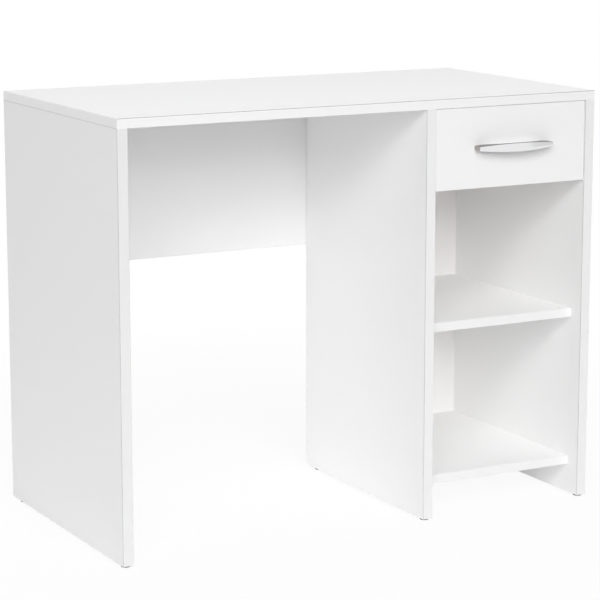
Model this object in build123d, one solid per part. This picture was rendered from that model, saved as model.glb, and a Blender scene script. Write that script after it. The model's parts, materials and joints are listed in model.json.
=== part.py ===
"""A white flat-pack desk: a knee space at the left, a pedestal with a drawer and two shelves at the right.

Millimetres, +Z up. The front faces -Y, and +X is to the right of someone who sits at the desk. The origin is
on the floor, in the middle of the space that the desk takes up with its handle.
"""
from build123d import *
import os
from collections import defaultdict, namedtuple

# Overall size
desk_width = 900
desk_depth = 477
desk_height = 724

# Boards
top_thickness = 16
upright_thickness = 18
shelf_thickness = 16
modesty_thickness = 16
edge_band = 0.8
band_arris = 0.3
seam_arris = 0.3
same_place = 0.001

# Layout of the boards
knee_width = 544
divider_depth = 419
modesty_height = 288
shelf_recess = 30
middle_shelf_height = 338
bottom_shelf_height = 70

# Hardboard back of the pedestal, in grooves
back_thickness = 3
back_inset = 8
back_groove_depth = 4
groove_slack = 0.1
back_top_gap = 1

# Cam fittings: a bolt screwed into one board, held by a cam that is let into the next
CamSize = namedtuple("CamSize", "diameter below reach shank thread thread_length")
carcass_cam = CamSize(diameter=15, below=5, reach=24, shank=6, thread=5, thread_length=11)
drawer_cam = CamSize(diameter=12, below=3.6, reach=20, shank=4, thread=4, thread_length=11)
cam_recess = 0.5
bolt_room = 0.5
bolt_neck_length = 2
bolt_neck_depth = 1
cam_web = 3
cap_diameter = 17
cap_thickness = 1.2
cap_chamfer = 0.5
snug = 0.05

# Dowels
DowelSize = namedtuple("DowelSize", "diameter in_face in_edge")
carcass_dowel = DowelSize(diameter=8, in_face=11, in_edge=20)
drawer_dowel = DowelSize(diameter=6, in_face=10, in_edge=18)
dowel_end_room = 0.5

# Places of the fittings, from the ends of each joint
top_cam_inset = 70
top_dowel_inset = 130
shelf_cam_inset = 50
modesty_cam_inset = 50
modesty_dowel_inset = 120

# Nail-in glides
glide_diameter = 16
glide_height = 3
glide_chamfer = 0.8
glide_pin_diameter = 2.4
glide_pin_length = 15
glide_front_inset = 11
glide_rear_inset = 35

# Panel pins
pin_diameter = 1.6
pin_length = 18
pin_head_diameter = 4
pin_head_height = 0.8
back_pin_inset = 75
bottom_pin_inset = 60

# Drawer
drawer_recess = 2
drawer_gap = 1
drawer_top_gap = 0.5
drawer_front_thickness = 16
drawer_front_height = 138
drawer_side_thickness = 12
drawer_side_height = 95
drawer_side_lift = 14
drawer_back_thickness = 12
drawer_bottom_thickness = 3
drawer_bottom_lift = 13
drawer_groove_depth = 5
side_arris = 0.6
drawer_cam_lift = 66
drawer_dowel_lift = 36
back_screw_head = 7
back_screw_shank = 3.6
back_screw_length = 40
back_screw_inset = 24

# Bow handle
handle_length = 148
handle_centres = 128
handle_projection = 27
handle_end_projection = 18
handle_end_height = 10
handle_middle_height = 15
handle_thickness = 5.5
handle_leg_width = 13
handle_edge_fillet = 1.2
handle_screw_shank = 4
handle_screw_head = 8
handle_screw_head_height = 2.4
handle_screw_bite = 8

# Roller runners: sections are given from the cabinet side and from the underside of the cabinet channel
runner_gap = 12.5
runner_length = 350
runner_setback = 2
runner_sheet = 1.2
runner_bend = 1.0
channel_height = 24
channel_floor_width = 10.8
channel_roof_width = 10
channel_lip_height = 4
tray_level = 2.0
track_level = 18.8
track_inner_reach = 9.3
track_lip_height = 3
runner_screw_head = 5.8
runner_screw_shank = 3.4
runner_screw_length = 12
runner_screw_places = (37, 133, 261)
drawer_screw_lift = 5.5

# Rollers and their rivets
front_roller_diameter = 17
rear_roller_diameter = 18.6
roller_play = 0.3
front_roller_width = 5
rear_roller_width = 6.2
roller_chamfer = 0.6
roller_hub_diameter = 9
roller_dish_depth = 0.8
roller_rim = 1.8
axle_diameter = 5
axle_head_diameter = 8
axle_head_height = 0.7
axle_side_play = 0.15
front_roller_offset = 5.0
rear_roller_offset = 2.7
front_roller_inset = 16
rear_roller_inset = 14
track_cut_back = 28
drawer_travel = 260
stop_height = 2.5
stop_length = 4
stop_play = 0.5

# Directions
LEFT, RIGHT = Vector(-1, 0, 0), Vector(1, 0, 0)
FORWARD, BACKWARD = Vector(0, -1, 0), Vector(0, 1, 0)
DOWN, UP = Vector(0, 0, -1), Vector(0, 0, 1)

# Planes that the boards share
left_outer, right_outer = -desk_width / 2, desk_width / 2
left_inner, right_inner = left_outer + upright_thickness, right_outer - upright_thickness
divider_left = left_inner + knee_width
divider_right = divider_left + upright_thickness
pedestal_middle = (divider_right + right_inner) / 2
front = (handle_projection - drawer_recess - desk_depth) / 2
rear = front + desk_depth
divider_rear = front + divider_depth
modesty_rear = divider_rear + modesty_thickness
modesty_middle = (divider_rear + modesty_rear) / 2
back_front = divider_rear - back_inset
back_rear = back_front + back_thickness
underside = desk_height - top_thickness
modesty_bottom = underside - modesty_height

pin_sizes = (pin_head_diameter, pin_head_height, pin_diameter, pin_length)

holes = defaultdict(list)
nodes = {}


def block(x, y, z):
    """A box between two limits on each axis."""
    limits = (x, y, z)
    middle = [(low + high) / 2 for low, high in limits]
    return Pos(*middle) * Box(*[high - low for low, high in limits])


def rod(start, direction, diameter, length):
    """A round bar that starts at a point and runs in a direction."""
    base = (Align.CENTER, Align.CENTER, Align.MIN)
    return Plane(origin=start, z_dir=direction) * Cylinder(diameter / 2, length, align=base)


def countersunk(head, direction, head_diameter, shank_diameter, length, room=0):
    """A countersunk screw from the middle of its head, or with some room the hole for it."""
    head_depth = (head_diameter - shank_diameter) / 2
    base = (Align.CENTER, Align.CENTER, Align.MIN)
    cone = Cone(head_diameter / 2 + room, shank_diameter / 2 + room, head_depth, align=base)
    return Plane(origin=head, z_dir=direction) * cone + rod(
        head, direction, shank_diameter + 2 * room, length + room
    )


def headed(head, direction, head_diameter, head_height, shank_diameter, length):
    """A pin or screw whose flat head stands on a surface, from the point where the head meets it."""
    cap = rod(head, -direction, head_diameter, head_height)
    return cap + rod(head, direction, shank_diameter, length)


def face_edges(board, axis, place, thickness_axis, faces):
    """The edges where a side of a board, at one place on an axis, meets the board's two faces."""

    def on_side_and_face(edge):
        centre = dict(zip("xyz", edge.center()))
        on_face = any(abs(centre[thickness_axis] - face) < same_place for face in faces)
        return on_face and abs(centre[axis] - place) < same_place

    return board.edges().filter_by(on_side_and_face)


def banded_board(x, y, z, banded_edges):
    """A board's core and its edge bands, which lie inside the limits. The first ones run the full length.

    Each band has an arris along its outer edges, and the core has one along the band, so a seam shows there.
    """
    limits = {"x": x, "y": y, "z": z}
    thickness_axis = min(limits, key=lambda axis: limits[axis][1] - limits[axis][0])
    faces = limits[thickness_axis]
    bands, seams = [], []
    for side, axis in banded_edges:
        low, high = limits[axis]
        if side == "-":
            outer, seam = low, low + edge_band
            limits[axis] = (seam, high)
        else:
            outer, seam = high, high - edge_band
            limits[axis] = (low, seam)
        band = block(**{**limits, axis: sorted((outer, seam))})
        bands.append(chamfer(face_edges(band, axis, outer, thickness_axis, faces), band_arris))
        seams.append((axis, seam))
    core = block(**limits)
    seam_edges = [edge for seam in seams for edge in face_edges(core, *seam, thickness_axis, faces)]
    return chamfer(seam_edges, seam_arris), bands


def inset_pair(low, high, inset):
    """Two places that lie as far in from the two ends of a joint."""
    return low + inset, high - inset


def cam_joint(bolted, holder, point, into, face, thickness, size, fittings):
    """Bores both boards for a cam fitting, and adds its cam and bolt to the fittings.

    The bolt is screwed into the bolted board at a point of the joint, and runs into the holder's edge.
    The cam is let into the holder from one face.
    """
    cams, bolts = fittings
    centre = point + into * size.reach
    floor = centre - face * size.below
    cam_height = size.below + thickness / 2 - cam_recess
    window = size.shank + 2 * bolt_room
    bolt_length = size.reach - cam_web
    holes[bolted].append(rod(point, -into, size.thread + 2 * snug, size.thread_length + snug))
    holes[holder].append(rod(point, into, window, size.reach))
    holes[holder].append(rod(floor, face, size.diameter + 2 * snug, size.below + thickness / 2))
    cam = rod(floor + face * snug, face, size.diameter, cam_height)
    cams.append(cam - rod(centre + into * cam_web, -into, window, size.diameter))
    shank_length = bolt_length - 2 * bolt_neck_length
    neck = rod(point, into, size.shank - 2 * bolt_neck_depth, bolt_length)
    head = rod(point + into * (shank_length + bolt_neck_length), into, size.shank, bolt_neck_length)
    thread = rod(point, -into, size.thread, size.thread_length)
    bolts.append(thread + rod(point, into, size.shank, shank_length) + neck + head)
    return centre + face * thickness / 2


def cam_cap(seat, face):
    """A cover cap that lies on the board over a cam."""
    cap = rod(seat, face, cap_diameter, cap_thickness)
    rim = cap.edges().sort_by(Axis(seat, face))[-1]
    return chamfer(rim, cap_chamfer)


def dowel_joint(faced, edged, point, into, size, dowels):
    """Bores two boards for a dowel that runs from one board's face into the other's edge."""
    start = point - into * size.in_face
    length = size.in_face + size.in_edge
    bore = size.diameter + 2 * snug
    holes[faced].append(rod(point, -into, bore, size.in_face + dowel_end_room))
    holes[edged].append(rod(point, into, bore, size.in_edge + dowel_end_room))
    dowels.append(rod(start, into, size.diameter, length))


# Boards of the carcass
upright_z = (glide_height, underside)
pedestal_x = (divider_right, right_inner)
modesty_x = (left_inner, right_inner)
modesty_z = (modesty_bottom, underside)
shelf_y = (front + shelf_recess, back_front)
shelf_z = {
    "middle_shelf": (middle_shelf_height - shelf_thickness, middle_shelf_height),
    "bottom_shelf": (bottom_shelf_height - shelf_thickness, bottom_shelf_height),
}
full_x, full_y = (left_outer, right_outer), (front, rear)
divider_x, divider_y = (divider_left, divider_right), (front, divider_rear)
boards = {
    "desktop": banded_board(full_x, full_y, (underside, desk_height), ["-y", "+y", "-x", "+x"]),
    "left_end_panel": banded_board((left_outer, left_inner), full_y, upright_z, ["-y", "+y"]),
    "divider_panel": banded_board(divider_x, divider_y, upright_z, ["-y", "+y"]),
    "right_end_panel": banded_board((right_inner, right_outer), full_y, upright_z, ["-y", "+y"]),
    "modesty_panel": banded_board(modesty_x, (divider_rear, modesty_rear), modesty_z, ["-z"]),
}
for shelf, z in shelf_z.items():
    boards[shelf] = banded_board(pedestal_x, shelf_y, z, ["-y"])

# Hardboard back of the pedestal and its grooves
for board, x in (("divider_panel", divider_right), ("right_end_panel", right_inner)):
    groove_x = (x - back_groove_depth, x + back_groove_depth)
    groove_y = (back_front - groove_slack, back_rear + groove_slack)
    holes[board].append(block(groove_x, groove_y, upright_z))
back_overlap = back_groove_depth - groove_slack
back_x = (divider_right - back_overlap, right_inner + back_overlap)
back_z = (bottom_shelf_height - shelf_thickness, underside - back_top_gap)
pedestal_back = block(back_x, (back_front, back_rear), back_z)

# Knock-down fittings of the carcass
cam_locks, cam_bolts, caps, dowels = [], [], [], []
carcass_fittings = (cam_locks, cam_bolts)


def carcass_cam_joint(bolted, holder, point, into, face, thickness):
    """A carcass cam fitting with its cover cap."""
    seat = cam_joint(bolted, holder, point, into, face, thickness, carcass_cam, carcass_fittings)
    caps.append(cam_cap(seat, face))


uprights = (
    ("left_end_panel", left_outer, RIGHT, rear),
    ("divider_panel", divider_left, RIGHT, divider_rear),
    ("right_end_panel", right_inner, LEFT, rear),
)
for upright, x, face, rear_edge in uprights:
    middle_x = x + upright_thickness / 2
    for y in inset_pair(front, divider_rear, top_cam_inset):
        point = Vector(middle_x, y, underside)
        carcass_cam_joint("desktop", upright, point, DOWN, face, upright_thickness)
    for y in inset_pair(front, divider_rear, top_dowel_inset):
        dowel_joint("desktop", upright, Vector(middle_x, y, underside), DOWN, carcass_dowel, dowels)

shelf_ends = (("divider_panel", divider_right, RIGHT), ("right_end_panel", right_inner, LEFT))
for shelf, (low, high) in shelf_z.items():
    middle_z = (low + high) / 2
    for upright, x, into in shelf_ends:
        for y in inset_pair(*shelf_y, shelf_cam_inset):
            carcass_cam_joint(upright, shelf, Vector(x, y, middle_z), into, DOWN, shelf_thickness)
        dowel_joint(upright, shelf, Vector(x, sum(shelf_y) / 2, middle_z), into, carcass_dowel, dowels)

modesty_ends = (("left_end_panel", left_inner, RIGHT), ("right_end_panel", right_inner, LEFT))
for z in inset_pair(*modesty_z, modesty_cam_inset):
    for upright, x, into in modesty_ends:
        point = Vector(x, modesty_middle, z)
        carcass_cam_joint(upright, "modesty_panel", point, into, BACKWARD, modesty_thickness)
    point = Vector(divider_left + upright_thickness / 2, divider_rear, z)
    carcass_cam_joint("modesty_panel", "divider_panel", point, FORWARD, RIGHT, upright_thickness)
for upright, x, into in modesty_ends:
    point = Vector(x, modesty_middle, sum(modesty_z) / 2)
    dowel_joint(upright, "modesty_panel", point, into, carcass_dowel, dowels)
for x in (*inset_pair(*modesty_x, modesty_dowel_inset), sum(modesty_x) / 2):
    point = Vector(x, modesty_middle, underside)
    dowel_joint("desktop", "modesty_panel", point, DOWN, carcass_dowel, dowels)

# Glides under the three uprights
glides = []
for upright, x, face, rear_edge in uprights:
    for y in (front + glide_front_inset, rear_edge - glide_rear_inset):
        seat = Vector(x + upright_thickness / 2, y, glide_height)
        foot = rod(seat, DOWN, glide_diameter, glide_height)
        foot = chamfer(foot.edges().sort_by(Axis.Z)[0], glide_chamfer)
        glides.append(foot + rod(seat, UP, glide_pin_diameter, glide_pin_length))
        holes[upright].append(rod(seat, UP, glide_pin_diameter + 2 * snug, glide_pin_length + snug))

# Pins that hold the hardboard back to the shelves
back_panel_nails = []
for shelf, (low, high) in shelf_z.items():
    for x in inset_pair(*pedestal_x, back_pin_inset):
        head = Vector(x, back_rear, (low + high) / 2)
        back_panel_nails.append(headed(head, FORWARD, *pin_sizes))
        pin_hole = rod(head, FORWARD, pin_diameter + 2 * snug, pin_length + snug)
        holes[shelf].append(pin_hole)
        holes["pedestal_back"].append(pin_hole)

# Drawer box
drawer_front_x = (divider_right + drawer_gap, right_inner - drawer_gap)
drawer_face = front + drawer_recess
drawer_front_y = (drawer_face, drawer_face + drawer_front_thickness)
drawer_front_top = underside - drawer_top_gap
drawer_front_z = (drawer_front_top - drawer_front_height, drawer_front_top)
side_bottom = drawer_front_z[0] + drawer_side_lift
side_y = (drawer_front_y[1], drawer_front_y[1] + runner_length)
side_z = (side_bottom, side_bottom + drawer_side_height)
box_left, box_right = divider_right + runner_gap, right_inner - runner_gap
inside_left, inside_right = box_left + drawer_side_thickness, box_right - drawer_side_thickness
bottom_z = (side_bottom + drawer_bottom_lift, side_bottom + drawer_bottom_lift + drawer_bottom_thickness)
drawer_back_y = (side_y[1] - drawer_back_thickness, side_y[1])
drawer_back_middle = sum(drawer_back_y) / 2

four_edges = ["-z", "+z", "-x", "+x"]
boards["drawer_front"] = banded_board(drawer_front_x, drawer_front_y, drawer_front_z, four_edges)
groove_z = (bottom_z[0] - groove_slack, bottom_z[1] + groove_slack)
groove_x = (inside_left - drawer_groove_depth, inside_right + drawer_groove_depth)
groove_y = (side_y[0] - drawer_groove_depth, side_y[1])
bottom_groove = block(groove_x, groove_y, groove_z)
drawer_sides = {}
for side, x, face in (("drawer_left_side", box_left, LEFT), ("drawer_right_side", inside_right, RIGHT)):
    board = block((x, x + drawer_side_thickness), side_y, side_z)
    lowest = board.edges().filter_by(Axis.Y).group_by(Axis.Z)[0]
    outer = lowest.sort_by(Axis(Vector(), face))[-1]
    drawer_sides[side] = (chamfer(outer, side_arris), x + drawer_side_thickness / 2, face)
    holes[side].append(bottom_groove)
holes["drawer_front"].append(bottom_groove)
drawer_back = block((inside_left, inside_right), drawer_back_y, (groove_z[1], side_z[1]))
bottom_x = inset_pair(*groove_x, groove_slack)
drawer_bottom = block(bottom_x, (groove_y[0] + groove_slack, groove_y[1]), bottom_z)

# Fittings of the drawer box
drawer_cam_locks, drawer_cam_bolts, drawer_dowels = [], [], []
drawer_back_screws, drawer_bottom_nails = [], []
drawer_fittings = (drawer_cam_locks, drawer_cam_bolts)
for side, (board, middle_x, face) in drawer_sides.items():
    point = Vector(middle_x, side_y[0], side_bottom + drawer_cam_lift)
    sizes = (drawer_side_thickness, drawer_cam, drawer_fittings)
    cam_joint("drawer_front", side, point, BACKWARD, face, *sizes)
    point = Vector(middle_x, side_y[0], side_bottom + drawer_dowel_lift)
    dowel_joint("drawer_front", side, point, BACKWARD, drawer_dowel, drawer_dowels)
    outer_x = middle_x + face.X * drawer_side_thickness / 2
    for z in inset_pair(groove_z[1], side_z[1], back_screw_inset):
        head = Vector(outer_x, drawer_back_middle, z)
        sizes = (back_screw_head, back_screw_shank, back_screw_length)
        drawer_back_screws.append(countersunk(head, -face, *sizes))
        screw_hole = countersunk(head, -face, *sizes, room=snug)
        holes[side].append(screw_hole)
        holes["drawer_back"].append(screw_hole)
for x in inset_pair(inside_left, inside_right, bottom_pin_inset):
    head = Vector(x, drawer_back_middle, bottom_z[0])
    drawer_bottom_nails.append(headed(head, UP, *pin_sizes))
    pin_hole = rod(head, UP, pin_diameter + 2 * snug, pin_length + snug)
    holes["drawer_bottom"].append(pin_hole)
    holes["drawer_back"].append(pin_hole)

# Bow handle: an arched plan whose ends are its two legs, cut to a leaf outline as seen from the front
half = handle_length / 2
leg_inner = half - handle_leg_width
end_y, middle_y = -handle_end_projection, -handle_projection
outer_bow = ThreePointArc((-half, end_y), (0, middle_y), (half, end_y))
right_leg = Polyline((half, end_y), (half, 0), (leg_inner, 0))
finger_arch = ThreePointArc((leg_inner, 0), (0, middle_y + handle_thickness), (-leg_inner, 0))
left_leg = Polyline((-leg_inner, 0), (-half, 0), (-half, end_y))
plan = make_face([outer_bow, right_leg, finger_arch, left_leg])
end_half, middle_half = handle_end_height / 2, handle_middle_height / 2
upper_curve = ThreePointArc((-half, end_half), (0, middle_half), (half, end_half))
lower_curve = ThreePointArc((half, -end_half), (0, -middle_half), (-half, -end_half))
right_end = Line((half, end_half), (half, -end_half))
left_end = Line((-half, -end_half), (-half, end_half))
leaf = make_face([upper_curve, right_end, lower_curve, left_end])
bow = extrude(plan, amount=handle_middle_height, both=True)
grip = bow & extrude(Plane.XZ * leaf, amount=2 * handle_projection, both=True)
grip = fillet(grip.edges().filter_by(lambda edge: edge.center().Y < -snug), handle_edge_fillet)
handle_seat = Vector(pedestal_middle, drawer_face, sum(drawer_front_z) / 2)
drawer_handle = Pos(*handle_seat) * grip
handle_screws = []
for side in (LEFT, RIGHT):
    head = handle_seat + side * handle_centres / 2 + BACKWARD * drawer_front_thickness
    sizes = (handle_screw_head, handle_screw_head_height, handle_screw_shank)
    screw_length = drawer_front_thickness + handle_screw_bite
    handle_screws.append(headed(head, FORWARD, *sizes, screw_length))
    screw_hole = rod(head, FORWARD, handle_screw_shank + 2 * snug, screw_length + snug)
    holes["drawer_front"].append(screw_hole)
    drawer_handle -= screw_hole

# Roller runners, drawn for the left side and mirrored for the right
half_sheet = runner_sheet / 2
channel_bottom = side_bottom - tray_level - runner_sheet
cabinet_y = (drawer_front_y[1] + runner_setback, drawer_front_y[1] + runner_setback + runner_length)
drawer_runner_y = (side_y[0] + runner_setback, side_y[1])


def sheet_profile(points, y):
    """A bent sheet-metal profile along y, from the middle line of its section."""
    line = FilletPolyline(*points, radius=runner_bend)
    section = Pos(divider_right, channel_bottom) * trace(line, line_width=runner_sheet)
    return extrude(Plane(origin=(0, y[1], 0), x_dir=RIGHT, z_dir=FORWARD) * section, amount=y[1] - y[0])


def other_side(shape):
    """The same piece at the other side of the drawer."""
    return mirror(shape, about=Plane.YZ.offset(pedestal_middle))


def in_runner(across, y, up):
    """A point of the left runner."""
    return Vector(divider_right + across, y, channel_bottom + up)


def runner_block(across, y, up):
    """A block in the left runner."""
    low, high = in_runner(across[0], y[0], up[0]), in_runner(across[1], y[1], up[1])
    return block((low.X, high.X), (low.Y, high.Y), (low.Z, high.Z))


channel_lip = channel_floor_width - half_sheet
channel_roof = channel_height - half_sheet
cabinet_runner = sheet_profile(
    [
        (channel_lip, channel_lip_height),
        (channel_lip, half_sheet),
        (half_sheet, half_sheet),
        (half_sheet, channel_roof),
        (channel_roof_width, channel_roof),
    ],
    cabinet_y,
)
web = runner_gap - half_sheet
tray = tray_level + half_sheet
track = track_level + half_sheet
track_outer = runner_gap - track_inner_reach + half_sheet
drawer_runner = sheet_profile(
    [
        (runner_gap + drawer_side_thickness, tray),
        (web, tray),
        (web, track),
        (track_outer, track),
        (track_outer, track_level + runner_sheet - track_lip_height),
    ],
    drawer_runner_y,
)
web_face = runner_gap - runner_sheet
track_cut_y = (drawer_runner_y[1] - track_cut_back, drawer_runner_y[1])
drawer_runner -= runner_block((0, web_face), track_cut_y, (0, channel_height))

# The channel's lip stops short of the front roller. A tab closes the channel's rear end, and a ridge on its
# floor stops the rear roller when the drawer is out.
lip_across = (channel_floor_width - runner_sheet - runner_bend, channel_floor_width)
lip_cut_y = (cabinet_y[0], cabinet_y[0] + front_roller_inset + front_roller_diameter)
cabinet_runner -= runner_block(lip_across, lip_cut_y, (0, channel_lip_height))
front_roller_radius, rear_roller_radius = front_roller_diameter / 2, rear_roller_diameter / 2
front_roller_level = track_level - roller_play - front_roller_radius
rear_roller_level = runner_sheet + roller_play + rear_roller_radius
front_roller_axis = in_runner(0, cabinet_y[0] + front_roller_inset, front_roller_level)
rear_roller_axis = in_runner(0, side_y[1] - rear_roller_inset, rear_roller_level)
inside_across = (runner_sheet, lip_across[0])
end_y = (cabinet_y[1] - runner_sheet, cabinet_y[1])
cabinet_runner += runner_block(inside_across, end_y, (runner_sheet, channel_height - 2 * runner_sheet))
ridge_drop = rear_roller_radius + roller_play - stop_height
stop_reach = (rear_roller_radius**2 - ridge_drop**2) ** 0.5
stop_rear = rear_roller_axis.Y - drawer_travel - stop_reach - stop_play
ridge_up = (runner_sheet - half_sheet, runner_sheet + stop_height)
cabinet_runner += runner_block(inside_across, (stop_rear - stop_length, stop_rear), ridge_up)


def roller(axis, across, diameter, width):
    """A nylon roller: rounded rim, hub and a shallow dish in each face."""
    start = axis + RIGHT * across
    wheel = rod(start, RIGHT, diameter, width)
    wheel = chamfer(wheel.edges().filter_by(GeomType.CIRCLE), roller_chamfer)
    for face in (start, start + RIGHT * (width - roller_dish_depth)):
        dish = rod(face, RIGHT, diameter - 2 * (roller_rim + roller_chamfer), roller_dish_depth)
        wheel -= dish - rod(face, RIGHT, roller_hub_diameter, roller_dish_depth)
    return wheel - rod(start, RIGHT, axle_diameter + 2 * snug, width)


def axle(axis, root, tip, direction):
    """A rivet from the back of a runner's sheet, past its roller, to a flat head."""
    shaft = rod(axis + RIGHT * root, direction, axle_diameter, abs(tip - root))
    return shaft + rod(axis + RIGHT * tip, direction, axle_head_diameter, axle_head_height)


front_roller = roller(front_roller_axis, front_roller_offset, front_roller_diameter, front_roller_width)
rear_roller = roller(rear_roller_axis, rear_roller_offset, rear_roller_diameter, rear_roller_width)
front_tip = front_roller_offset + front_roller_width + axle_side_play
front_axle = axle(front_roller_axis, 0, front_tip, RIGHT)
rear_axle = axle(rear_roller_axis, runner_gap, rear_roller_offset - axle_side_play, LEFT)
rivet_hole = axle_diameter + 2 * snug
cabinet_runner -= rod(front_roller_axis, RIGHT, rivet_hole, runner_sheet)
drawer_runner -= rod(rear_roller_axis + RIGHT * web_face, RIGHT, rivet_hole, runner_sheet)

# Screws of the runners, flush with the sheet
screw_sizes = (runner_screw_head, runner_screw_shank, runner_screw_length)
cabinet_screws, drawer_screws = [], []
for place in runner_screw_places:
    head = in_runner(runner_sheet, cabinet_y[0] + place, channel_height / 2)
    cabinet_screws.append(countersunk(head, LEFT, *screw_sizes))
    cabinet_hole = countersunk(head, LEFT, *screw_sizes, room=snug)
    cabinet_runner -= cabinet_hole
    head = Vector(divider_right + web_face, side_y[0] + place, side_bottom + drawer_screw_lift)
    drawer_screws.append(countersunk(head, RIGHT, *screw_sizes))
    drawer_hole = countersunk(head, RIGHT, *screw_sizes, room=snug)
    drawer_runner -= drawer_hole
    holes["divider_panel"].append(cabinet_hole)
    holes["drawer_left_side"].append(drawer_hole)
    holes["right_end_panel"].append(other_side(cabinet_hole))
    holes["drawer_right_side"].append(other_side(drawer_hole))

# Every piece by its name
band_names = {
    "desktop": "desktop_edge_bands",
    "left_end_panel": "left_end_edge_bands",
    "divider_panel": "divider_edge_bands",
    "right_end_panel": "right_end_edge_bands",
    "modesty_panel": "modesty_edge_band",
    "middle_shelf": "middle_shelf_edge_band",
    "bottom_shelf": "bottom_shelf_edge_band",
    "drawer_front": "drawer_front_edge_bands",
}
for name, (core, bands) in boards.items():
    nodes[name] = [core]
    nodes[band_names[name]] = [band - holes[name] for band in bands]
for name, (board, middle_x, face) in drawer_sides.items():
    nodes[name] = [board]
nodes["pedestal_back"] = [pedestal_back]
nodes["drawer_back"] = [drawer_back]
nodes["drawer_bottom"] = [drawer_bottom]
for name, cuts in holes.items():
    nodes[name] = [nodes[name][0] - cuts]
nodes["cam_locks"] = cam_locks
nodes["cam_bolts"] = cam_bolts
nodes["cam_caps"] = caps
nodes["dowels"] = dowels
nodes["glides"] = glides
nodes["back_panel_nails"] = back_panel_nails
nodes["drawer_cam_locks"] = drawer_cam_locks
nodes["drawer_cam_bolts"] = drawer_cam_bolts
nodes["drawer_dowels"] = drawer_dowels
nodes["drawer_back_screws"] = drawer_back_screws
nodes["drawer_bottom_nails"] = drawer_bottom_nails
nodes["drawer_handle"] = [drawer_handle]
nodes["handle_screws"] = handle_screws
for name, piece in (
    ("cabinet_runner", cabinet_runner),
    ("drawer_runner", drawer_runner),
    ("front_roller", front_roller),
    ("rear_roller", rear_roller),
):
    nodes["left_" + name] = [piece]
    nodes["right_" + name] = [other_side(piece)]
for name, pieces in (
    ("cabinet_roller_axles", [front_axle]),
    ("drawer_roller_axles", [rear_axle]),
    ("cabinet_runner_screws", cabinet_screws),
    ("drawer_runner_screws", drawer_screws),
):
    nodes[name] = pieces + [other_side(piece) for piece in pieces]

os.makedirs("parts", exist_ok=True)
for name, pieces in nodes.items():
    solids = [solid for piece in pieces for solid in piece.solids()]
    export_step(solids[0] if len(solids) == 1 else Compound(children=solids), f"parts/{name}.step")
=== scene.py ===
"""The looks of a white flat-pack desk: faced boards with banded edges, a bow handle, and the fittings.

Metres, +Z up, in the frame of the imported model. The front of the desk faces -Y.
"""
import json
import math

import bmesh
import bpy
from mathutils import Matrix, Vector

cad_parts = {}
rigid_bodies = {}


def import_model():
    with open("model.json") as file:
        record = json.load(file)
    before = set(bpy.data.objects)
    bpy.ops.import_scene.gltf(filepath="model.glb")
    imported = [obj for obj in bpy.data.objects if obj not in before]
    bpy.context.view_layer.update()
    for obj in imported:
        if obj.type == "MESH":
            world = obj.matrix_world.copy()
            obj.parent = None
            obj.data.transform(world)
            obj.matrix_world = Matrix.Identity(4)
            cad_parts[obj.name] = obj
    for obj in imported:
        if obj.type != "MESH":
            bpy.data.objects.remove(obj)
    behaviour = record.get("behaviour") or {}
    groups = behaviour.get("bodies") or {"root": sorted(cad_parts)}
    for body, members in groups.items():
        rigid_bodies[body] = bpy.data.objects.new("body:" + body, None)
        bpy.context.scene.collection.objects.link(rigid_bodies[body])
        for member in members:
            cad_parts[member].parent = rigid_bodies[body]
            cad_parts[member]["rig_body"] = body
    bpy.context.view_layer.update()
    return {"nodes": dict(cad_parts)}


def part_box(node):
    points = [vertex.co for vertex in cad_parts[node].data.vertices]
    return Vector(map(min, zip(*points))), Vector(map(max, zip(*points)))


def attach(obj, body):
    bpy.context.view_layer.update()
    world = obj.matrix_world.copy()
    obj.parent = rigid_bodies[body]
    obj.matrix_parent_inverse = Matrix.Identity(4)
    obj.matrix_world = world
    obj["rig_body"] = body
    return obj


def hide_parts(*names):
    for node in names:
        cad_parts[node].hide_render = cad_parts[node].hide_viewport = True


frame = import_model()
bpy.ops.object.select_all(action="DESELECT")
nodes = frame["nodes"]

MM = 0.001

# Camera of the photograph
camera_place = (-1.8966, -3.4814, 1.1322)
camera_turn = 28.51
camera_tilt = 11.04
camera_lens = 138.64

# The studio round the desk: a floor that keeps some shadow, and light from the walls
floor_radius = 1.7
floor_drop = 0.1 * MM
floor_white = 0.91
floor_plain_share = 0.90
floor_fade = (0.5, 0.95 * floor_radius)
left_light = 0.17
right_light = 0.5
right_light_from = 0.5
rear_light = 1.1
white_bounces = 12

# Shares of a direction along one axis, for a face that looks that way squarely, mainly or in between
squarely = 0.9
handle_top_slope = 0.6
mainly = 0.5


class Flow:
    """A value, colour or vector on its way from one node to the next. Maths on it adds Math nodes."""

    def __init__(self, finish, socket):
        self.finish = finish
        self.socket = socket

    def maths(self, operation, *terms):
        return self.finish.node("Math", {"operation": operation}, dict(enumerate((self, *terms))))

    def __add__(self, other):
        return self.maths("ADD", other)

    def __mul__(self, other):
        return self.maths("MULTIPLY", other)

    def __rsub__(self, other):
        return self.finish.node("Math", {"operation": "SUBTRACT"}, {0: other, 1: self})

    def __gt__(self, other):
        return self.maths("GREATER_THAN", other)

    def __lt__(self, other):
        return self.maths("LESS_THAN", other)

    def __abs__(self):
        return self.maths("ABSOLUTE")

    def largest(self, other):
        return self.maths("MAXIMUM", other)

    def axis(self, name):
        return self.finish.node("SeparateXYZ", {}, {0: self}, name)

    __radd__ = __add__
    __rmul__ = __mul__


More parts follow.
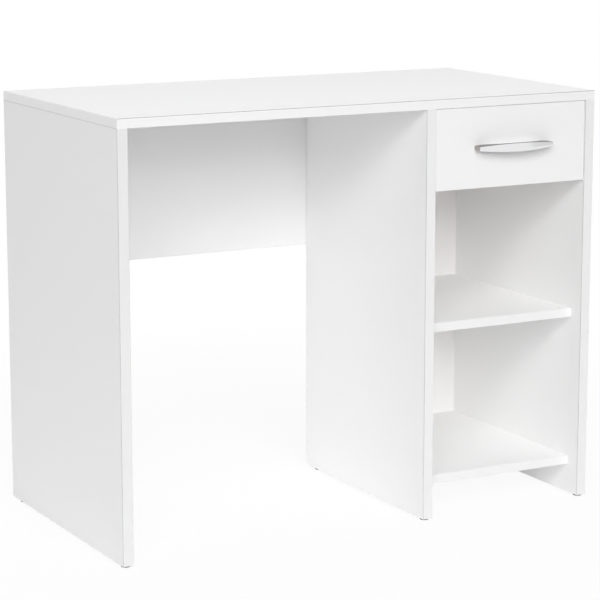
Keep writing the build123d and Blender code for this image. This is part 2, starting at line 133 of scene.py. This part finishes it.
class Finish:
    """A material or world whose nodes give a surface its colour, gloss and texture."""

    def __init__(self, owner):
        owner.use_nodes = True
        self.owner = owner
        self.tree = owner.node_tree
        self.tree.nodes.clear()

    def node(self, kind, settings=(), sockets=(), output=0):
        """Adds a node: its settings first, then the values or links of its sockets."""
        node = self.tree.nodes.new("ShaderNode" + kind)
        for name, value in dict(settings).items():
            setattr(node, name, value)
        for name, value in dict(sockets).items():
            if isinstance(value, Flow):
                self.tree.links.new(value.socket, node.inputs[name])
            else:
                node.inputs[name].default_value = value
        return Flow(self, node.outputs[output]) if node.outputs else node

    def place(self, stretch=(1, 1, 1)):
        """Where a point lies in the desk's frame, with each axis stretched."""
        point = self.node("TexCoord", output="Object")
        return self.node("Mapping", {}, {"Vector": point, "Scale": stretch})

    def facing(self):
        """The direction that a face looks in."""
        return self.node("NewGeometry", output="True Normal")

    def noise(self, size, detail=2, stretch=(1, 1, 1)):
        """Soft random lumps of about one size."""
        sockets = {"Vector": self.place(stretch), "Scale": 1 / size, "Detail": detail}
        return self.node("TexNoise", {}, sockets)

    def between(self, mask, first, second):
        """One colour where the mask is 0, the other where it is 1."""
        return self.node("Mix", {"data_type": "RGBA"}, {0: mask, 6: first, 7: second}, 2)

    def spread(self, value, low, high, to_low=0, to_high=1):
        """A value's range between two limits, spread over another range."""
        sockets = {0: value, 1: low, 2: high, 3: to_low, 4: to_high}
        return self.node("MapRange", {}, sockets)

    def bump(self, height, depth, strength=1.0):
        return self.node("Bump", {}, {"Height": height, "Distance": depth, "Strength": strength})

    def surface(self, **sockets):
        """Closes the material with one principled surface."""
        named = {name.replace("_", " "): value for name, value in sockets.items()}
        shader = self.node("BsdfPrincipled", {}, named)
        self.node("OutputMaterial", {}, {"Surface": shader})
        return self.owner


def grey(level):
    """A neutral colour, from black at 0 to white at 1."""
    return (level, level, level, 1)


def new_finish(name):
    return Finish(bpy.data.materials.new(name))


# Whites: the boards' own white; darker copies of it, painted shade on the faces and edges that the front
# lamps light most; and the drawer box's white
white = 0.94
shaded_front_white = 0.81
shaded_modesty_white = 0.825
shaded_left_edge_white = 0.72
shaded_upright_edge_white = 0.76
shaded_shelf_edge_white = 0.79
drawer_white = 0.86

# Dark lines along the edge bands: a glue line, and painted shade of the gap at the joint
glue_and_shade_grey = (0.309, 0.30, 0.291, 1)
front_seam = 0.7 * MM
side_seam = 0.5 * MM


def sloping(finish):
    """1 on an arris, 0 on the flat faces and edges of a board."""
    facing = finish.facing()
    x, y, z = (abs(facing.axis(name)) for name in "XYZ")
    return x.largest(y).largest(z) < squarely


def chipboard_colour(finish):
    """Pressed wood chips, seen where a board's edge is bare."""
    chips = finish.noise(2.2 * MM, 4)
    dust = finish.noise(0.5 * MM, 2)
    pale = finish.between(dust, (0.50, 0.36, 0.22, 1), (0.66, 0.51, 0.34, 1))
    return finish.between(finish.spread(chips, 0.45, 0.62), pale, (0.33, 0.21, 0.11, 1))


def mottled(finish, level, lumps):
    """A white that varies a little from lump to lump."""
    return finish.between(lumps, grey(level - 0.01), grey(level))


def melamine(name, level=white, bare_below=False, glue=glue_and_shade_grey):
    """White melamine facing with a fine pressed texture, and a dark line along its edge bands that is a glue
    line and painted shade of the joint. A level below the boards' white is painted shade.
    """
    finish = new_finish(name)
    cloud = finish.noise(70 * MM, 2)
    pearl = finish.noise(0.7 * MM, 2)
    # The arrises take the dark line: a glue line and painted shade of the joint
    colour = finish.between(sloping(finish), mottled(finish, level, cloud), glue)
    if bare_below:
        bare = finish.facing().axis("Z") < -squarely
        colour = finish.between(bare, colour, chipboard_colour(finish))
    return finish.surface(
        Base_Color=colour,
        Roughness=0.42 + 0.16 * pearl,
        Normal=finish.bump(pearl, 0.02 * MM, 0.5),
        Specular_IOR_Level=0.4,
    )


def desktop_seams(finish):
    """1 along the front's upper edge and along the sides' lower edge, where the desktop's glue lines and the
    painted shade of its joints go.
    """
    low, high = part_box("desktop_edge_bands")
    facing = finish.facing()
    height = finish.place().axis("Z")
    along_front = (facing.axis("Y") < -mainly) * (height > high.z - front_seam)
    along_sides = (abs(facing.axis("X")) > mainly) * (height < low.z + side_seam)
    return along_front.largest(along_sides)


def edge_band(name, front_shade_level=white, seams=None):
    """White plastic edge band, smoother than the facing, with or without a dark line that is a glue line and
    painted shade of the joint. A darker white on its front face is painted shade.
    """
    finish = new_finish(name)
    streak = finish.noise(1.2 * MM, 2)
    # Faces that look to the front take the darker white, which is painted shade
    at_front = finish.facing().axis("Y") < -mainly
    colour = finish.between(at_front, mottled(finish, white, streak), mottled(finish, front_shade_level, streak))
    if seams:
        # The dark line is a glue line and painted shade of the joint
        colour = finish.between(seams(finish), colour, glue_and_shade_grey)
    return finish.surface(
        Base_Color=colour,
        Roughness=0.38 + 0.1 * streak,
        Normal=finish.bump(streak, 0.01 * MM, 0.4),
    )


def hardboard(name, bare_behind=False):
    """White lacquered hardboard, which may be bare and brown on the face that looks back."""
    finish = new_finish(name)
    fibre = finish.noise(1.5 * MM, 5)
    colour = finish.between(fibre, (0.893, 0.88, 0.872, 1), (0.923, 0.91, 0.902, 1))
    if bare_behind:
        brown = finish.between(fibre, (0.20, 0.11, 0.055, 1), (0.36, 0.22, 0.12, 1))
        colour = finish.between(finish.facing().axis("Y") > mainly, colour, brown)
    return finish.surface(
        Base_Color=colour,
        Roughness=0.42 + 0.2 * fibre,
        Normal=finish.bump(fibre, 0.03 * MM, 0.4),
    )


def metal(name, colour, roughness, grain, depth):
    """Bare or plated metal with a fine grain."""
    finish = new_finish(name)
    specks = finish.noise(grain, 3)
    darker = tuple(0.85 * part for part in colour)
    return finish.surface(
        Base_Color=finish.between(specks, (*darker, 1), (*colour, 1)),
        Metallic=1.0,
        Roughness=roughness - 0.08 + 0.16 * specks,
        Normal=finish.bump(specks, depth, 0.4),
    )


def handle_chrome():
    """Satin chrome, rougher and darker on the upper edge and the ends of the handle: the dark upper edge is a
    painted reflection, and the ends are darker and browner.
    """
    finish = new_finish("satin_chrome")
    specks = finish.noise(0.3 * MM, 3)
    facing = finish.facing()
    at_end = abs(facing.axis("X")) > squarely
    # The upper edge's dark grey is a painted reflection; the ends are darker and browner
    dark_top_and_ends = at_end.largest(facing.axis("Z") > handle_top_slope)
    polished = finish.between(specks, (0.75, 0.75, 0.76, 1), (0.88, 0.88, 0.89, 1))
    top_and_end_colours = finish.between(at_end, (0.29, 0.285, 0.28, 1), (0.46, 0.42, 0.40, 1))
    return finish.surface(
        Base_Color=finish.between(dark_top_and_ends, polished, top_and_end_colours),
        Metallic=1.0,
        Roughness=0.09 + 0.16 * specks + 0.25 * dark_top_and_ends,
        Normal=finish.bump(specks, 0.003 * MM, 0.4),
    )


def plastic(name, colour, roughness, grain, depth):
    """Moulded plastic with a spark-eroded texture."""
    finish = new_finish(name)
    texture = finish.noise(grain, 2)
    darker = tuple(0.93 * part for part in colour)
    return finish.surface(
        Base_Color=finish.between(texture, (*darker, 1), (*colour, 1)),
        Roughness=roughness - 0.05 + 0.1 * texture,
        Normal=finish.bump(texture, depth, 0.4),
    )


def beech():
    """Bare beech with its short dark flecks along the grain."""
    finish = new_finish("beech")
    grain = finish.noise(3 * MM, 4, (1, 1, 0.2))
    fleck = finish.noise(0.6 * MM, 2, (1, 1, 0.15))
    wood = finish.between(grain, (0.42, 0.25, 0.12, 1), (0.60, 0.40, 0.22, 1))
    return finish.surface(
        Base_Color=finish.between(finish.spread(fleck, 0.6, 0.7), wood, (0.28, 0.15, 0.07, 1)),
        Roughness=0.6 + 0.2 * grain,
        Normal=finish.bump(grain, 0.05 * MM, 0.5),
    )


faced = melamine("white_melamine")
# The darker whites on the drawer front, the modesty panel and the front edge bands are painted shade where
# the front lamps light most
front_faced = melamine("shaded_front_melamine", shaded_front_white, glue=grey(shaded_front_white))
modesty_faced = melamine("shaded_modesty_melamine", shaded_modesty_white, glue=grey(shaded_modesty_white))
upright = melamine("white_melamine_bare_below", bare_below=True)
plain_band = edge_band("white_edge_band", shaded_front_white)
shelf_band = edge_band("shaded_shelf_band", shaded_shelf_edge_white)
left_band = edge_band("shaded_left_band", shaded_left_edge_white, sloping)
upright_band = edge_band("shaded_upright_band", shaded_upright_edge_white, sloping)
desktop_band = edge_band("shaded_desktop_band", shaded_front_white, desktop_seams)
drawer_foil = melamine("white_drawer_foil", drawer_white)
zinc = metal("die_cast_zinc", (0.55, 0.55, 0.53), 0.42, 0.4 * MM, 0.03 * MM)
plated = metal("plated_steel", (0.66, 0.65, 0.61), 0.28, 0.3 * MM, 0.01 * MM)
satin_chrome = handle_chrome()
enamel = plastic("white_enamel", (0.80, 0.80, 0.78), 0.3, 0.8 * MM, 0.02 * MM)
nylon = plastic("nylon", (0.75, 0.73, 0.68), 0.35, 0.4 * MM, 0.01 * MM)
cap_plastic = plastic("white_cap_plastic", (0.85, 0.85, 0.84), 0.4, 0.3 * MM, 0.01 * MM)
glide_plastic = plastic("black_glide_plastic", (0.012, 0.012, 0.013), 0.45, 0.3 * MM, 0.02 * MM)

finishes = {
    faced: ["desktop", "middle_shelf", "bottom_shelf"],
    front_faced: ["drawer_front"],
    modesty_faced: ["modesty_panel"],
    upright: ["left_end_panel", "divider_panel", "right_end_panel"],
    plain_band: ["modesty_edge_band", "drawer_front_edge_bands"],
    shelf_band: ["middle_shelf_edge_band", "bottom_shelf_edge_band"],
    left_band: ["left_end_edge_bands"],
    upright_band: ["divider_edge_bands", "right_end_edge_bands"],
    desktop_band: ["desktop_edge_bands"],
    hardboard("pedestal_hardboard", bare_behind=True): ["pedestal_back"],
    hardboard("drawer_hardboard"): ["drawer_bottom"],
    drawer_foil: ["drawer_left_side", "drawer_right_side", "drawer_back"],
    zinc: ["cam_locks", "drawer_cam_locks"],
    plated: [name for name in nodes if name.endswith(("bolts", "screws", "nails", "axles"))],
    beech(): ["dowels", "drawer_dowels"],
    cap_plastic: ["cam_caps"],
    glide_plastic: ["glides"],
    enamel: [name for name in nodes if name.endswith("runner")],
    nylon: [name for name in nodes if name.endswith("roller")],
    satin_chrome: ["drawer_handle"],
}
for finish, names in finishes.items():
    for name in names:
        nodes[name].data.materials.clear()
        nodes[name].data.materials.append(finish)


# Shaping by hand: each piece starts as a primitive and is worked in edit mode
smooth_angle = math.radians(35)
same_place = 0.01 * MM
weld_reach = 0.005 * MM


def begin(name):
    """Names the primitive that was just added and opens it for shaping."""
    piece = bpy.context.active_object
    piece.name = piece.data.name = name
    bpy.ops.object.mode_set(mode="EDIT")
    return piece


def pick(piece, wanted, kind="verts"):
    """Selects the corners, edges or faces that a test wants."""
    mode = {"verts": "VERT", "edges": "EDGE", "faces": "FACE"}[kind]
    bpy.ops.mesh.select_mode(type=mode)
    bpy.ops.mesh.select_all(action="DESELECT")
    mesh = bmesh.from_edit_mesh(piece.data)
    for element in getattr(mesh, kind):
        element.select_set(wanted(element))
    mesh.select_flush_mode()
    bmesh.update_edit_mesh(piece.data)


def shift(x=0, y=0, z=0):
    bpy.ops.transform.translate(value=(x, y, z))


def close(piece):
    """Ends the shaping, with smooth faces between the sharper edges."""
    bpy.ops.object.mode_set(mode="OBJECT")
    bpy.ops.object.shade_smooth_by_angle(angle=smooth_angle)
    return piece


def worked(piece, kind, **settings):
    """Applies a modifier to a piece."""
    bpy.context.view_layer.objects.active = piece
    modifier = piece.modifiers.new(kind.lower(), kind)
    for name, value in settings.items():
        setattr(modifier, name, value)
    bpy.ops.object.modifier_apply(modifier=modifier.name)


def stands_for(piece, node, finish):
    """Gives a piece its finish, and puts it in the place of a CAD node on that node's body."""
    piece.data.materials.clear()
    piece.data.materials.append(finish)
    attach(piece, nodes[node]["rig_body"])
    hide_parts(node)
    piece.select_set(False)


def arc_drop(offset, half, rise):
    """How far an arc has fallen from its crown at an offset. It falls by its rise over half its width."""
    radius = (half**2 + rise**2) / (2 * rise)
    return radius - math.sqrt(radius**2 - offset**2)


handle_end_projection = 18 * MM
handle_thickness = 5.5 * MM
handle_end_height = 7.5 * MM
handle_leg_width = 13 * MM
handle_crown = 0.8 * MM
handle_front_rounding = 0.8 * MM
handle_rounding = 0.5 * MM
handle_steps = 24
handle_smooth_angle = math.radians(40)


def bow_handle():
    """A bow handle, arched inside and out, with a crowned face and the outline of a leaf from the front."""
    low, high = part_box("drawer_handle")
    middle = (low + high) / 2
    length, depth, height = high - low
    half = length / 2
    arch_half = half - handle_leg_width
    bpy.ops.mesh.primitive_cube_add(size=1)
    handle = begin("bow_handle")
    bpy.ops.transform.resize(value=(handle_leg_width, depth, height))
    shift(low.x + handle_leg_width / 2, middle.y, middle.z)
    pick(handle, lambda face: face.normal.x > squarely, "faces")
    for step in [2 * arch_half / handle_steps] * handle_steps + [handle_leg_width]:
        bpy.ops.mesh.extrude_region_move(TRANSFORM_OT_translate={"value": (step, 0, 0)})
    bpy.ops.mesh.select_all(action="SELECT")
    bpy.ops.mesh.bisect(plane_co=middle, plane_no=(0, 0, 1))
    off_middle = 0.1 * MM
    pick(handle, lambda corner: corner.co.y < middle.y and abs(corner.co.z - middle.z) > off_middle)
    shift(y=handle_crown)
    stations = {round(corner.co.x, 6) for corner in bmesh.from_edit_mesh(handle.data).verts}
    for station in sorted(stations):
        offset = abs(station - middle.x)

        def here(corner):
            return abs(corner.co.x - station) < off_middle

        pick(handle, lambda corner: here(corner) and corner.co.y < middle.y)
        shift(y=arc_drop(offset, half, depth - handle_end_projection))
        if offset < arch_half:
            pick(handle, lambda corner: here(corner) and corner.co.y > high.y - off_middle)
            arch_rise = depth - handle_thickness
            shift(y=arc_drop(offset, arch_half, arch_rise) - arch_rise)
        pick(handle, here)
        leaf = height - 2 * arc_drop(offset, half, (height - handle_end_height) / 2)
        bpy.ops.transform.resize(value=(1, 1, leaf / height), center_override=middle)

    def on_front_rim(corner):
        offset = abs(corner.co.x - middle.x)
        face_y = low.y + handle_crown + arc_drop(offset, half, depth - handle_end_projection)
        return abs(corner.co.y - face_y) < off_middle and abs(corner.co.z - middle.z) > off_middle

    def along_front(edge):
        first, last = edge.verts
        same_side = (first.co.z - middle.z) * (last.co.z - middle.z) > 0
        return same_side and on_front_rim(first) and on_front_rim(last)

    pick(handle, along_front, "edges")
    bpy.ops.mesh.bevel(offset=handle_front_rounding, segments=4)
    close(handle)
    worked(handle, "BEVEL", width=handle_rounding, segments=3, angle_limit=handle_smooth_angle)
    bpy.ops.object.shade_smooth_by_angle(angle=handle_smooth_angle)
    stands_for(handle, "drawer_handle", satin_chrome)


bow_handle()


def turned(name, profile, sides=32):
    """A turned piece: a disc drawn up along Z through each (radius, height) of its profile, in mm."""
    (radius, height), *rings = profile
    bpy.ops.mesh.primitive_circle_add(vertices=sides, radius=radius * MM, fill_type="NGON")
    piece = begin(name)
    shift(z=height * MM)
    for wider, higher in rings:
        bpy.ops.mesh.extrude_region_move(TRANSFORM_OT_translate={"value": (0, 0, (higher - height) * MM)})
        widening = wider / radius
        bpy.ops.transform.resize(value=(widening, widening, 1), center_override=(0, 0, higher * MM))
        radius, height = wider, higher
    bpy.ops.mesh.select_all(action="SELECT")
    bpy.ops.mesh.normals_make_consistent()
    return close(piece)


def cross_recess(piece, reach, depth):
    """Cuts a cross recess into the face of a piece that lies at the origin, with arms that narrow inwards."""
    arm_width = 0.3 * reach
    narrowing = (0.4, 0.5, 1)
    for turn in (0, math.pi / 2):
        bpy.ops.mesh.primitive_cube_add(size=1)
        blade = begin("blade")
        bpy.ops.transform.resize(value=(2 * reach * MM, arm_width * MM, 2 * depth * MM))
        pick(blade, lambda face: face.normal.z > squarely, "faces")
        bpy.ops.transform.resize(value=narrowing)
        bpy.ops.mesh.select_all(action="SELECT")
        bpy.ops.transform.rotate(value=turn, orient_axis="Z", center_override=(0, 0, 0))
        bpy.ops.object.mode_set(mode="OBJECT")
        worked(piece, "BOOLEAN", object=blade, operation="DIFFERENCE", solver="EXACT")
        bpy.data.objects.remove(blade)
    bpy.ops.object.select_all(action="DESELECT")


def solids(node):
    """The points of each separate solid in a CAD node."""
    copy = nodes[node].copy()
    copy.data = copy.data.copy()
    bpy.context.scene.collection.objects.link(copy)
    bpy.ops.object.select_all(action="DESELECT")
    copy.select_set(True)
    bpy.context.view_layer.objects.active = copy
    bpy.ops.object.mode_set(mode="EDIT")
    bpy.ops.mesh.select_all(action="SELECT")
    bpy.ops.mesh.remove_doubles(threshold=weld_reach)
    bpy.ops.mesh.separate(type="LOOSE")
    bpy.ops.object.mode_set(mode="OBJECT")
    points = [[vertex.co.copy() for vertex in part.data.vertices] for part in bpy.context.selected_objects]
    bpy.ops.object.delete()
    return points


def stance(points):
    """The middle of a turned fitting's wide end, and the direction from there to its narrow end."""
    low, high = (Vector(map(limit, zip(*points))) for limit in (min, max))
    size = high - low

    def unlike_the_others(axis):
        return abs(size[axis] - size[axis - 1]) + abs(size[axis] - size[axis - 2])

    along = max(range(3), key=unlike_the_others)
    ends = []
    for end in (low, high):
        middle = (low + high) / 2
        middle[along] = end[along]
        rim = [point for point in points if abs(point[along] - end[along]) < same_place]
        ends.append((max((point - middle).length for point in rim), middle))
    ends.sort(key=lambda end: end[0])
    narrow, wide = (middle for _, middle in ends)
    return wide, (narrow - wide).normalized()


def fitted(model, node, finish):
    """Sets a copy of a turned model in the place of each solid of a CAD node, as one piece."""
    copies = []
    for points in solids(node):
        seat, direction = stance(points)
        copy = model.copy()
        copy.data = model.data.copy()
        copy.data.transform(Matrix.Translation(seat) @ direction.to_track_quat("Z", "Y").to_matrix().to_4x4())
        bpy.context.scene.collection.objects.link(copy)
        copies.append(copy)
    bpy.ops.object.select_all(action="DESELECT")
    for copy in copies:
        copy.select_set(True)
    bpy.context.view_layer.objects.active = copies[0]
    bpy.ops.object.join()
    copies[0].name = copies[0].data.name = model.name.replace("_model", "")
    stands_for(copies[0], node, finish)


def cover_caps():
    """Round caps that press over the cams, with a softly domed face."""
    profile = [(8.5, 0), (8.5, 0.5), (8.3, 0.8), (7.7, 1.0), (6.4, 1.12), (3.2, 1.2)]
    cap = turned("cover_caps_model", profile, sides=40)
    fitted(cap, "cam_caps", cap_plastic)
    bpy.data.objects.remove(cap)


def nail_glides():
    """Nail-in feet: a rounded black foot with a collar, and a pointed pin that goes up into the panel."""
    foot = [(5.0, 0), (6.6, 0.1), (7.5, 0.5), (7.9, 1.1), (8.0, 1.8), (8.0, 2.4), (7.4, 2.7), (7.4, 3.0)]
    pin = [(1.2, 3.0), (1.2, 16.0), (0.3, 18.0)]
    glide = turned("nail_glides_model", foot + pin)
    fitted(glide, "glides", glide_plastic)
    bpy.data.objects.remove(glide)


screw_sides = 24


def thread(root, crest, start, end, pitch):
    """The ridges of a wood screw's thread, from the plain shank to the tip."""
    ridges = []
    height = start
    while height + pitch < end:
        ridges += [(root, height), (crest, height + 0.4 * pitch), (crest, height + 0.5 * pitch)]
        height += pitch
    return ridges + [(root, height)]


def countersunk_screws(name, node, head, shank, length):
    """Flush screws with a countersunk head, a cross recess and a thread."""
    head_height = (head - shank) / 2
    root = 0.75 * shank / 2
    crest = shank / 2
    rim = [(0.94 * head / 2, 0), (head / 2, 0.12), (root, head_height)]
    tip = [(0.2, length)]
    ridges = thread(root, crest, start=head_height + 1, end=length - 2.4, pitch=1.3)
    screw = turned(f"{name}_model", rim + ridges + tip, screw_sides)
    cross_recess(screw, reach=0.3 * head, depth=1.4)
    fitted(screw, node, plated)
    bpy.data.objects.remove(screw)


def pan_screws():
    """The two machine screws that hold the handle, with a domed head and a cross recess."""
    low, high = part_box("handle_screws")
    length = (high.y - low.y) / MM
    head = [(2.2, 0), (3.2, 0.25), (3.8, 0.8), (4.0, 1.5), (4.0, 2.4), (2.0, 2.4)]
    tip = [(1.4, length)]
    ridges = thread(root=1.75, crest=2.0, start=4.4, end=length - 1, pitch=0.7)
    screw = turned("handle_machine_screws_model", head + ridges + tip, screw_sides)
    cross_recess(screw, reach=1.9, depth=1.6)
    fitted(screw, "handle_screws", plated)
    bpy.data.objects.remove(screw)


cover_caps()
nail_glides()
countersunk_screws("drawer_back_wood_screws", "drawer_back_screws", head=7.0, shank=3.6, length=40)
countersunk_screws("cabinet_wood_screws", "cabinet_runner_screws", head=5.8, shank=3.4, length=12)
countersunk_screws("drawer_side_wood_screws", "drawer_runner_screws", head=5.8, shank=3.4, length=12)
pan_screws()


def bare_eye(finish):
    """1 for what is seen directly or in a glossy or clear surface, 0 for light that falls on the desk."""
    rays = [finish.node("LightPath", output=f"Is {ray} Ray") for ray in ("Camera", "Glossy", "Transmission")]
    return rays[0].largest(rays[1]).largest(rays[2])


def studio_world():
    """White to the eye. As light it is brightest from behind and weaker from the sides."""
    world = bpy.data.worlds.new("studio")
    bpy.context.scene.world = world
    finish = Finish(world)
    direction = finish.node("TexCoord", output="Generated")
    from_left = finish.spread(direction.axis("X"), 0, -1, 0, left_light)
    from_right = finish.spread(direction.axis("X"), right_light_from, 1, 0, right_light)
    from_behind = finish.spread(direction.axis("Y"), 0, 1, 0, rear_light)
    light = from_left + from_right + from_behind
    seen = bare_eye(finish)
    strength = seen + (1 - seen) * light
    background = finish.node("Background", {}, {"Color": grey(1), "Strength": strength})
    finish.node("OutputWorld", {}, {"Surface": background})


def studio_floor():
    """A round white floor. It keeps the desk's soft shadow and fades to plain white at its rim."""
    bpy.ops.mesh.primitive_circle_add(vertices=96, radius=floor_radius, fill_type="NGON")
    floor = begin("floor")
    shift(z=-floor_drop)
    bpy.ops.object.mode_set(mode="OBJECT")
    finish = new_finish("white_floor")
    distance = finish.node("VectorMath", {"operation": "LENGTH"}, {0: finish.place()}, "Value")
    share = finish.spread(distance, *floor_fade, floor_plain_share, 1)
    plain = finish.node("Emission", {}, {"Color": grey(1), "Strength": 1.0})
    matt = finish.node("BsdfDiffuse", {}, {"Color": grey(floor_white)})
    shown = finish.node("MixShader", {}, {0: bare_eye(finish) * share, 1: matt, 2: plain})
    finish.node("OutputMaterial", {}, {"Surface": shown})
    floor.data.materials.append(finish.owner)


def flag(name, corners, brightness):
    """A dim card that only polished metal shows, as the darker parts of a studio would."""
    bpy.ops.mesh.primitive_plane_add(size=1)
    card = begin(name)
    (low_x, low_y, low_z), (high_x, high_y, high_z) = corners
    if low_x == high_x:
        bpy.ops.transform.rotate(value=math.pi / 2, orient_axis="Y", center_override=(0, 0, 0))
    card_thickness = 1 * MM
    size = [max(high - low, card_thickness) for low, high in zip(*corners)]
    bpy.ops.transform.resize(value=size, center_override=(0, 0, 0))
    shift(*((low + high) / 2 for low, high in zip(*corners)))
    bpy.ops.object.mode_set(mode="OBJECT")
    finish = new_finish(name)
    glow = finish.node("Emission", {}, {"Color": grey(1), "Strength": brightness})
    finish.node("OutputMaterial", {}, {"Surface": glow})
    card.data.materials.append(finish.owner)
    card.visible_camera = card.visible_diffuse = card.visible_shadow = card.visible_transmission = False


def softbox(name, place, aim, width, depth, brightness, mirrored=True):
    """A large soft lamp that looks at a point. It may leave no highlight, as if a screen hid it from view."""
    lamp = bpy.data.lights.new(name, "AREA")
    lamp.shape = "RECTANGLE"
    lamp.size, lamp.size_y = width, depth
    lamp.energy = brightness * math.pi * width * depth
    stand = bpy.data.objects.new(name, lamp)
    stand.location = place
    stand.visible_glossy = mirrored
    stand.rotation_euler = (Vector(aim) - Vector(place)).to_track_quat("-Z", "Y").to_euler()
    bpy.context.scene.collection.objects.link(stand)


def studio_camera():
    camera = bpy.data.cameras.new("camera")
    camera.lens = camera_lens
    stand = bpy.data.objects.new("camera", camera)
    stand.location = camera_place
    stand.rotation_euler = (math.radians(90 - camera_tilt), 0, math.radians(-camera_turn))
    bpy.context.scene.collection.objects.link(stand)
    bpy.context.scene.camera = stand


bpy.context.scene.view_settings.view_transform = "Standard"
studio_world()
studio_floor()
knee_height = (0, 0, 0.4)
softbox("low_bank", (-2.0, -11.5, 3.0), knee_height, width=7.0, depth=3.0, brightness=3.8, mirrored=False)
softbox("upper_bank", (-3.2, -9.8, 6.2), knee_height, width=8.6, depth=6.0, brightness=5.3, mirrored=False)
softbox("high_bank", (0.2, -2.3, 3.3), (0, 0, 0.6), width=3.0, depth=1.6, brightness=0.9)
softbox("overhead_softbox", (0.2, 0, 3.2), (0.2, 0, 0), width=3.0, depth=3.0, brightness=0.6)
softbox("left_softbox", (-2.6, -2.8, 2.2), knee_height, width=1.3, depth=0.6, brightness=9.7, mirrored=False)
flag("ceiling_flag", ((-1.5, -2.2, 2.4), (3.0, 1.0, 2.4)), brightness=0.45)
flag("right_flag", ((2.6, -2.6, 0), (2.6, -0.4, 2.2)), brightness=0.8)
studio_camera()
bpy.context.scene.cycles.max_bounces = bpy.context.scene.cycles.diffuse_bounces = white_bounces
